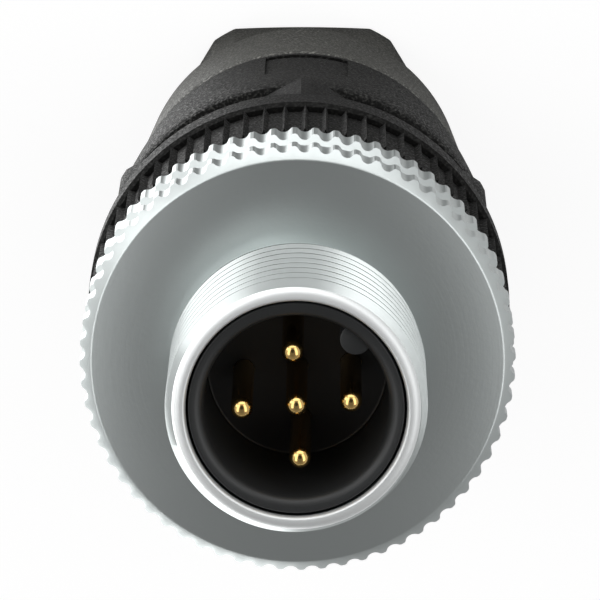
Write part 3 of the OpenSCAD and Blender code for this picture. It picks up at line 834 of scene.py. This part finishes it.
def contact_blank(cup, name, low, reach):
    """A contact rod with its wire cage, at that distance from the axis on the +X side."""
    cage_front = low + 3.0 * MM
    shank_rear = cage_front - 0.2 * MM
    tip, radius = depth(cup.tip), cup.contact_radius
    outline = [
        (0.0, shank_rear),
        (cup.shank_radius, shank_rear),
        (cup.shank_radius, depth(cup.shank_front)),
        (radius, depth(cup.shank_front)),
    ] + [
        (radius * math.cos(a), tip - radius * (1 - math.sin(a)))
        for a in [math.radians(10 * k) for k in range(9)]
    ] + [(0.0, tip)]
    piece = turn_on_lathe(name, outline, 40)
    piece.location = (reach, 0, 0)
    settle(piece)
    inner = reach - 1.05 * MM
    half, wall, long, roof = 0.848 * MM, 0.3 * MM, 2.75 * MM, 0.8 * MM
    cage = add_block("cage", (inner, -half, low), (inner + long, half, cage_front))
    room = add_block(
        "chamber", (inner + 0.4 * MM, wall - half, low - MM),
        (inner + long - roof, half - wall, cage_front - 0.4 * MM),
    )
    combine(cage, room, "DIFFERENCE")
    soften_edges(cage, 0.05 * MM, 1)
    combine(piece, cage, "UNION")
    return close_up(piece, 35)


class CONNECTOR_OT_contacts(bpy.types.Operator):
    """Models one contact rod with its cage and sets a copy at each place"""

    bl_idname = "connector.contacts"
    bl_label = "Contacts"
    bl_options = {"REGISTER", "UNDO"}

    def execute(self, context):
        cup = context.scene.connector_carrier
        finish = plain_metal_finish(
            "contact_gold", context.scene.connector_finishes.gold, roughness=0.16,
            size=0.2 * MM, strength=0.1, distance=0.002 * MM,
        )
        quarter = FULL_TURN / 4
        outer = contact_blank(cup, "contact_1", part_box("pin_1")[0].z, cup.circle_radius)
        centre = contact_blank(cup, "contact_5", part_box("pin_5")[0].z, 0.0)
        copies = [copy_of(outer, f"contact_{number}") for number in (2, 3, 4)]
        for place, piece in enumerate([outer, *copies, centre]):
            turn = quarter / 2 if piece is centre else place * quarter
            turn_about_axis(piece, cup.pattern_turn + turn)
            finish_piece(piece, "carrier", f"pin_{place + 1}", finish)
        return {"FINISHED"}


class CONNECTOR_OT_collar(bpy.types.Operator):
    """Models the grip collar: ribbed band, rim, hexagon and spigot"""

    bl_idname = "connector.collar"
    bl_label = "Grip collar"
    bl_options = {"REGISTER", "UNDO"}

    def execute(self, context):
        collar = context.scene.connector_collar
        finishes = context.scene.connector_finishes
        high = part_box("grip_collar")[1]
        root, rim = collar.root_radius, collar.rim_radius
        ribs_begin = depth(collar.rib_front + 0.12 * MM)
        ribs_end = depth(collar.rim_front - 0.01 * MM)
        bore, hub, step, room = 4.38 * MM, 6.87 * MM, 5.7 * MM, 8.2 * MM
        step_front, room_front = depth(16.8 * MM), depth(18.2 * MM)
        front_edge, rim_edge, rear_edge = 0.12 * MM, 0.2 * MM, 0.08 * MM
        outline = [
            (bore, step_front),
            (bore, high.z),
            (hub, high.z),
            (hub, depth(collar.rib_front)),
            (root - front_edge, depth(collar.rib_front)),
            (root, ribs_begin + 0.03 * MM),
            (root, ribs_begin),
            (root, ribs_end),
            (rim - rim_edge, depth(collar.rim_front)),
            (rim, depth(collar.rim_front + rim_edge)),
            (rim, depth(collar.hexagon_front - rear_edge)),
            (rim - rear_edge, depth(collar.hexagon_front)),
            (room, depth(collar.hexagon_front)),
            (room, room_front),
            (step, room_front),
            (step, step_front),
        ]
        turn = context.scene.connector_knurl.flute_turn
        piece = turn_on_lathe("collar_band", outline, collar.ribs * STEPS_PER_TOOTH, turn)

        def ribbed(offset, radius):
            side = abs(root * math.sin(offset)) / collar.rib_half_width
            return radius + collar.rib_height * max(0.0, 1 - side)

        open_edit(piece)
        press_rows(piece, collar.ribs, turn, ribbed, [(ribs_begin, root, 0), (ribs_end, root, 0)])
        close_edit()
        close_up(piece, 30)
        black = grained_plastic_finish(
            "collar_black", finishes.body, finishes.grain, roughness=0.6, strength=0.25,
            shine=0.12, painted_glint=3.0, gloss=0.25,
        )

        inside = 6.6 * MM
        front, rear = depth(collar.hexagon_front - 0.02 * MM), depth(collar.hexagon_rear)
        hexagon = add_hexagon(
            "collar_hexagon", collar.hexagon_size, rear, front, collar.hexagon_turn
        )
        blank = turn_on_lathe("hexagon_blank", [
            (inside, rear - MM), (rim - 0.45 * MM, rear - 0.02 * MM), (rim, rear + 0.2 * MM),
            (rim, front + MM), (inside, front + MM),
        ], 128)
        combine(hexagon, blank, "INTERSECT")
        soften_edges(hexagon, 0.12 * MM, 3, 20)
        close_up(hexagon, 30)

        spigot = turn_on_lathe("collar_spigot", threaded_outline(
            inside, collar.spigot_radius, rear + 0.3 * MM, depth(collar.spigot_rear)
        ), 96)
        smooth_below(spigot, 25)
        for part in (piece, hexagon, spigot):
            finish_piece(part, "carrier", "grip_collar", black)
        return {"FINISHED"}


class CONNECTOR_OT_sleeve(bpy.types.Operator):
    """Models the sleeve with its marker recess and rear spigot"""

    bl_idname = "connector.sleeve"
    bl_label = "Sleeve"
    bl_options = {"REGISTER", "UNDO"}

    def execute(self, context):
        sleeve = context.scene.connector_sleeve
        finishes = context.scene.connector_finishes
        *edge, (shoulder, rear) = sleeve_outline(sleeve)
        edge += [(shoulder + 0.004 * MM, rear + 0.1 * MM), (shoulder - 0.1 * MM, rear)]
        chamber, hole, room, socket, mouth = 6.6 * MM, 4.0 * MM, 7.5 * MM, 8.06 * MM, 9.0 * MM
        web_rear, web_front = depth(39.6 * MM), depth(39.0 * MM)
        room_rear, room_front = depth(37.6 * MM), depth(30.6 * MM)
        mouth_rear = depth(27.3 * MM)
        inside = [
            (chamber, rear),
            (chamber, web_rear),
            (hole, web_rear),
            (hole, web_front),
            (room, room_rear),
            (room, room_front),
            (socket, room_front),
            (socket, mouth_rear),
            (mouth, mouth_rear),
            (mouth, depth(sleeve.front)),
        ]
        piece = turn_on_lathe("sleeve_body", edge + inside, 160)
        half = sleeve.recess_width / 2
        recess = add_block(
            "recess_cutter", (0, -half, depth(sleeve.recess_rear)),
            (sleeve.front_radius + MM, half, depth(sleeve.recess_front)),
        )
        soften_edges(recess, 0.25 * MM, 3)
        floor = turn_on_lathe("recess_floor", [
            (0.0, depth(sleeve.front - MM)),
            *sleeve_outline(sleeve, sleeve.recess_depth, 24),
            (0.0, depth(sleeve.rear)),
        ], 320)
        combine(recess, floor, "DIFFERENCE")
        turn_about_axis(recess, sleeve.recess_turn)
        combine(piece, recess, "DIFFERENCE")
        close_up(piece, 25)
        black = grained_plastic_finish(
            "sleeve_black", finishes.body, finishes.grain, roughness=0.64, strength=0.8,
            shine=0.15, painted_glint=8.0, gloss=0.38,
        )
        finish_piece(piece, "rear_sleeve", "sleeve", black)
        seal_chamber = 5.6 * MM
        spigot = turn_on_lathe("sleeve_spigot", threaded_outline(
            seal_chamber, sleeve.spigot_radius, depth(39.25 * MM), depth(sleeve.spigot_rear)
        ), 96)
        smooth_below(spigot, 25)
        finish_piece(spigot, "rear_sleeve", "sleeve", black)
        return {"FINISHED"}


class CONNECTOR_OT_nut(bpy.types.Operator):
    """Models the clamping nut: tapered skirt and wrench hexagon"""

    bl_idname = "connector.nut"
    bl_label = "Clamping nut"
    bl_options = {"REGISTER", "UNDO"}

    def execute(self, context):
        nut = context.scene.connector_nut
        finishes = context.scene.connector_finishes
        front, step, rim = depth(nut.front), depth(nut.hexagon_front), nut.front_round
        lead, edge, overlap = 0.25 * MM, 0.1 * MM, 0.3 * MM
        flat = nut.hexagon_size / 2 - 0.2 * MM
        outline = [
            (nut.bore_radius, step - overlap),
            (nut.bore_radius, front - lead),
            (nut.bore_radius + lead, front),
        ] + [
            (nut.skirt_radius - rim * (1 - math.sin(a)), front - rim * (1 - math.cos(a)))
            for a in [math.radians(15 * k) for k in range(7)]
        ] + [
            (nut.skirt_rear_radius, step + edge),
            (nut.skirt_rear_radius - edge, step),
            (flat, step),
            (flat, step - overlap),
        ]
        skirt = turn_on_lathe("nut_skirt", outline, 160)
        smooth_below(skirt, 25)
        grey = grained_plastic_finish(
            "nut_grey", finishes.nut, finishes.grain, roughness=0.58, strength=0.8,
            shine=0.4, painted_glint=3.5, gloss=0.38,
        )
        finish_piece(skirt, "rear_nut", "clamping_nut", grey)

        hexagon = add_hexagon("nut_hexagon", nut.hexagon_size, 0.0, step + 0.2 * MM)
        below, chamfer, chamfer_top = -0.1 * MM, 1.172 * MM, 0.58 * MM
        cone_front, cone_rear = depth(47.3 * MM), depth(51.0 * MM)
        blank = turn_on_lathe("nut_blank", [
            (nut.hole_radius, below),
            (nut.corner_radius - chamfer, below),
            (nut.corner_radius, chamfer_top),
            (nut.corner_radius, step + MM),
            (nut.bore_radius, step + MM),
            (nut.bore_radius, cone_front),
            (5.6 * MM, cone_front),
            (4.85 * MM, cone_rear),
            (nut.hole_radius, cone_rear),
        ], 192)
        combine(hexagon, blank, "INTERSECT")
        soften_edges(hexagon, 0.12 * MM, 3, 20)
        close_up(hexagon, 30)
        finish_piece(hexagon, "rear_nut", "clamping_nut", grey)
        return {"FINISHED"}


class CONNECTOR_OT_inner_parts(bpy.types.Operator):
    """Gives the inner parts, which keep their solids, their finishes"""

    bl_idname = "connector.inner_parts"
    bl_label = "Inner parts"
    bl_options = {"REGISTER", "UNDO"}

    def execute(self, context):
        finishes = context.scene.connector_finishes
        rubber = smooth_plastic_finish("seal_rubber", finishes.rubber, roughness=0.7)
        steel = plain_metal_finish("plain_steel", finishes.steel, roughness=0.3)
        brass = plain_metal_finish("clamp_brass", finishes.brass, roughness=0.35)
        block = smooth_plastic_finish("block_grey", finishes.block, roughness=0.5)
        dark = smooth_plastic_finish("clamp_dark", finishes.nut, roughness=0.5)
        numbers = range(1, 6)
        groups = {
            rubber: ["ring_damper", "sleeve_gasket", "cable_seal"],
            steel: ["insert_clip"] + [f"terminal_screw_{n}" for n in numbers],
            brass: [f"wire_clamp_{n}" for n in numbers],
            block: ["terminal_block"],
            dark: ["thrust_washer", "cable_clamp"],
        }
        for material, nodes in groups.items():
            for node in nodes:
                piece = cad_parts[node]
                piece.data.materials.clear()
                piece.data.materials.append(material)
        return {"FINISHED"}


# Stage

def add_lamp(name, direction, distance, size, strength, target):
    """A soft lamp at a distance from the target, facing it."""
    lamp_data = bpy.data.lights.new(name, "AREA")
    lamp_data.shape = "RECTANGLE"
    lamp_data.size, lamp_data.size_y = size
    lamp_data.energy = strength
    lamp = bpy.data.objects.new(name, lamp_data)
    bpy.context.scene.collection.objects.link(lamp)
    direction = Vector(direction).normalized()
    lamp.location = target + direction * distance
    lamp.rotation_euler = direction.to_track_quat("Z", "Y").to_euler()
    return lamp


def grey_ramp(tree, source, stops):
    """Brightness by a value from -1 to 1, given as (value, brightness) stops."""
    shift = add_node(tree, "ShaderNodeMapRange", source, From_Min=-1.0)
    ramp = add_node(tree, "ShaderNodeValToRGB", shift.outputs["Result"])
    elements = ramp.color_ramp.elements
    for place, (value, brightness) in enumerate(stops):
        element = elements[place] if place < 2 else elements.new(1.0)
        element.position = (value + 1) / 2
        element.color = (brightness, brightness, brightness, 1)
    return ramp.outputs["Color"]


def calculate(tree, operation, first, second):
    return add_node(tree, "ShaderNodeMath", first, second, operation=operation).outputs[0]


def seen_or_lit(tree, lit, seen, output):
    """Joins what lights the object and what the camera sees behind it to the output."""
    camera = add_node(tree, "ShaderNodeLightPath").outputs["Is Camera Ray"]
    mix = add_node(tree, "ShaderNodeMixShader", camera, lit.outputs[0], seen.outputs[0])
    add_node(tree, output, mix.outputs[0])


def studio_world(tilt):
    """Soft light all round, lower overhead, dark where the camera stands, and white behind."""
    world = bpy.data.worlds.new("studio")
    bpy.context.scene.world = world
    world.use_nodes = True
    tree = world.node_tree
    tree.nodes.clear()
    direction = add_node(tree, "ShaderNodeTexCoord").outputs["Generated"]
    _, y, z = add_node(tree, "ShaderNodeSeparateXYZ", direction).outputs
    graded = calculate(
        tree, "MULTIPLY", grey_ramp(tree, z, OVERHEAD), grey_ramp(tree, y, BACK_TO_FRONT)
    )
    opening = add_node(tree, "ShaderNodeVectorMath", direction, operation="DOT_PRODUCT")
    opening.inputs[1].default_value = (0, -math.sin(tilt), math.cos(tilt))
    shade = grey_ramp(tree, opening.outputs["Value"], CAMERA_OPENING)
    light = add_node(tree, "ShaderNodeBackground")
    tree.links.new(calculate(tree, "MULTIPLY", graded, shade), light.inputs["Strength"])
    white = add_node(tree, "ShaderNodeBackground", Color=(1, 1, 1, 1))
    seen_or_lit(tree, light, white, "ShaderNodeOutputWorld")


def floor_finish():
    """A pale floor that shows white and keeps a soft shadow; towards the part it has painted shade,
    dark close to the part, painted light on its sides along X and a painted glow on the +X side.
    """
    material = bpy.data.materials.new("pale_floor")
    material.use_nodes = True
    tree = material.node_tree
    tree.nodes.clear()
    place = object_place(tree)
    reach = add_node(tree, "ShaderNodeVectorMath", place, operation="LENGTH")
    # Painted shade: the floor is dark close to the part and pale farther out
    painted_shade_near_part = add_node(
        tree, "ShaderNodeMapRange", reach.outputs["Value"],
        From_Min=22 * MM, From_Max=45 * MM, To_Min=0.05, To_Max=0.9,
    )
    scaled = add_node(
        tree, "ShaderNodeVectorMath", place, operation="SCALE", Scale=1 / FLOOR_UNIT
    )
    x = add_node(tree, "ShaderNodeSeparateXYZ", scaled.outputs[0]).outputs["X"]
    # Painted light: the floor is paler on both sides along X
    painted_paler_sides = grey_ramp(tree, x, FLOOR_PAINTED_SIDE_LIGHT)
    painted_floor_light = calculate(tree, "MAXIMUM", painted_shade_near_part.outputs["Result"], painted_paler_sides)
    matte = add_node(tree, "ShaderNodeBsdfDiffuse", painted_floor_light)
    # Painted glow: on the +X side the floor gives off light though it is no lamp
    painted_card_glow = add_node(
        tree, "ShaderNodeEmission", grey_ramp(tree, x, FLOOR_PAINTED_GLOW), Strength=PAINTED_GLOW_STRENGTH
    )
    glow = add_node(tree, "ShaderNodeEmission", Strength=0.8)
    faint = add_node(tree, "ShaderNodeBsdfDiffuse", Color=(0.3, 0.3, 0.3, 1))
    lit, seen = (
        add_node(tree, "ShaderNodeAddShader", first.outputs[0], second.outputs[0])
        for first, second in ((matte, painted_card_glow), (glow, faint))
    )
    seen_or_lit(tree, lit, seen, "ShaderNodeOutputMaterial")
    return material


class CONNECTOR_OT_stage(bpy.types.Operator):
    """Sets the floor, the lamps and the camera"""

    bl_idname = "connector.stage"
    bl_label = "Stage"
    bl_options = {"REGISTER", "UNDO"}

    def execute(self, context):
        stage = context.scene.connector_stage
        deselect()
        bpy.ops.mesh.primitive_plane_add(size=stage.floor_size, location=(0, 0, 0))
        floor = take_new("studio_floor")
        floor.data.materials.append(floor_finish())
        studio_world(stage.tilt)
        middle = Vector((0, 0, TOP * 0.8))
        lamps = [add_lamp(name, *lamp, middle) for name, lamp in LAMPS.items()]

        nose = Vector((0, 0, TOP))
        towards = Vector((
            -math.sin(stage.swing),
            -math.sin(stage.tilt) * math.cos(stage.swing),
            math.cos(stage.tilt) * math.cos(stage.swing),
        ))
        right = Vector((-1, 0, 0))
        right = (right - towards * right.dot(towards)).normalized()
        up = towards.cross(right)
        aim = nose + right * stage.frame_right + up * stage.frame_up
        place = nose + towards * stage.distance
        back = (place - aim).normalized()
        across = (right - back * right.dot(back)).normalized()
        turn = Matrix((across, back.cross(across), back)).transposed()
        lens = bpy.data.cameras.new("connector_camera")
        lens.lens = stage.lens / MM
        lens.sensor_width = 36
        lens.clip_start, lens.clip_end = 0.01, 10
        camera = bpy.data.objects.new("connector_camera", lens)
        camera.matrix_world = Matrix.Translation(place) @ turn.to_4x4()
        context.scene.collection.objects.link(camera)
        context.scene.camera = camera
        context.scene.view_settings.view_transform = "Standard"
        return {"FINISHED"}


class CONNECTOR_PT_pieces(bpy.types.Panel):
    """Lists the connector's pieces"""

    bl_idname = "CONNECTOR_PT_pieces"
    bl_label = "Connector"
    bl_space_type = "VIEW_3D"
    bl_region_type = "UI"
    bl_category = "Connector"

    def draw(self, context):
        column = self.layout.column(align=True)
        for operator in OPERATORS:
            column.operator(operator.bl_idname)
        for name in SETTINGS:
            box = self.layout.box()
            box.label(text=name.removeprefix("connector_").capitalize())
            group = getattr(context.scene, name)
            for key in group.__annotations__:
                box.prop(group, key)


OPERATORS = (
    CONNECTOR_OT_nose,
    CONNECTOR_OT_knurl,
    CONNECTOR_OT_carrier,
    CONNECTOR_OT_contacts,
    CONNECTOR_OT_collar,
    CONNECTOR_OT_sleeve,
    CONNECTOR_OT_nut,
    CONNECTOR_OT_inner_parts,
    CONNECTOR_OT_stage,
)
SETTINGS = {
    "connector_nose": NoseSettings,
    "connector_knurl": KnurlSettings,
    "connector_carrier": CarrierSettings,
    "connector_collar": CollarSettings,
    "connector_sleeve": SleeveSettings,
    "connector_nut": NutSettings,
    "connector_finishes": FinishSettings,
    "connector_stage": StageSettings,
}


def register():
    for group in SETTINGS.values():
        bpy.utils.register_class(group)
    for name, group in SETTINGS.items():
        setattr(bpy.types.Scene, name, PointerProperty(type=group))
    for operator in OPERATORS:
        bpy.utils.register_class(operator)
    bpy.utils.register_class(CONNECTOR_PT_pieces)


def unregister():
    bpy.utils.unregister_class(CONNECTOR_PT_pieces)
    for operator in reversed(OPERATORS):
        bpy.utils.unregister_class(operator)
    for name in SETTINGS:
        delattr(bpy.types.Scene, name)
    for group in reversed(list(SETTINGS.values())):
        bpy.utils.unregister_class(group)


def main():
    register()
    bpy.ops.connector.nose()
    bpy.ops.connector.knurl()
    bpy.ops.connector.carrier()
    bpy.ops.connector.contacts()
    bpy.ops.connector.collar()
    bpy.ops.connector.sleeve()
    bpy.ops.connector.nut()
    bpy.ops.connector.inner_parts()
    bpy.ops.connector.stage()


if __name__ == "__main__":
    main()
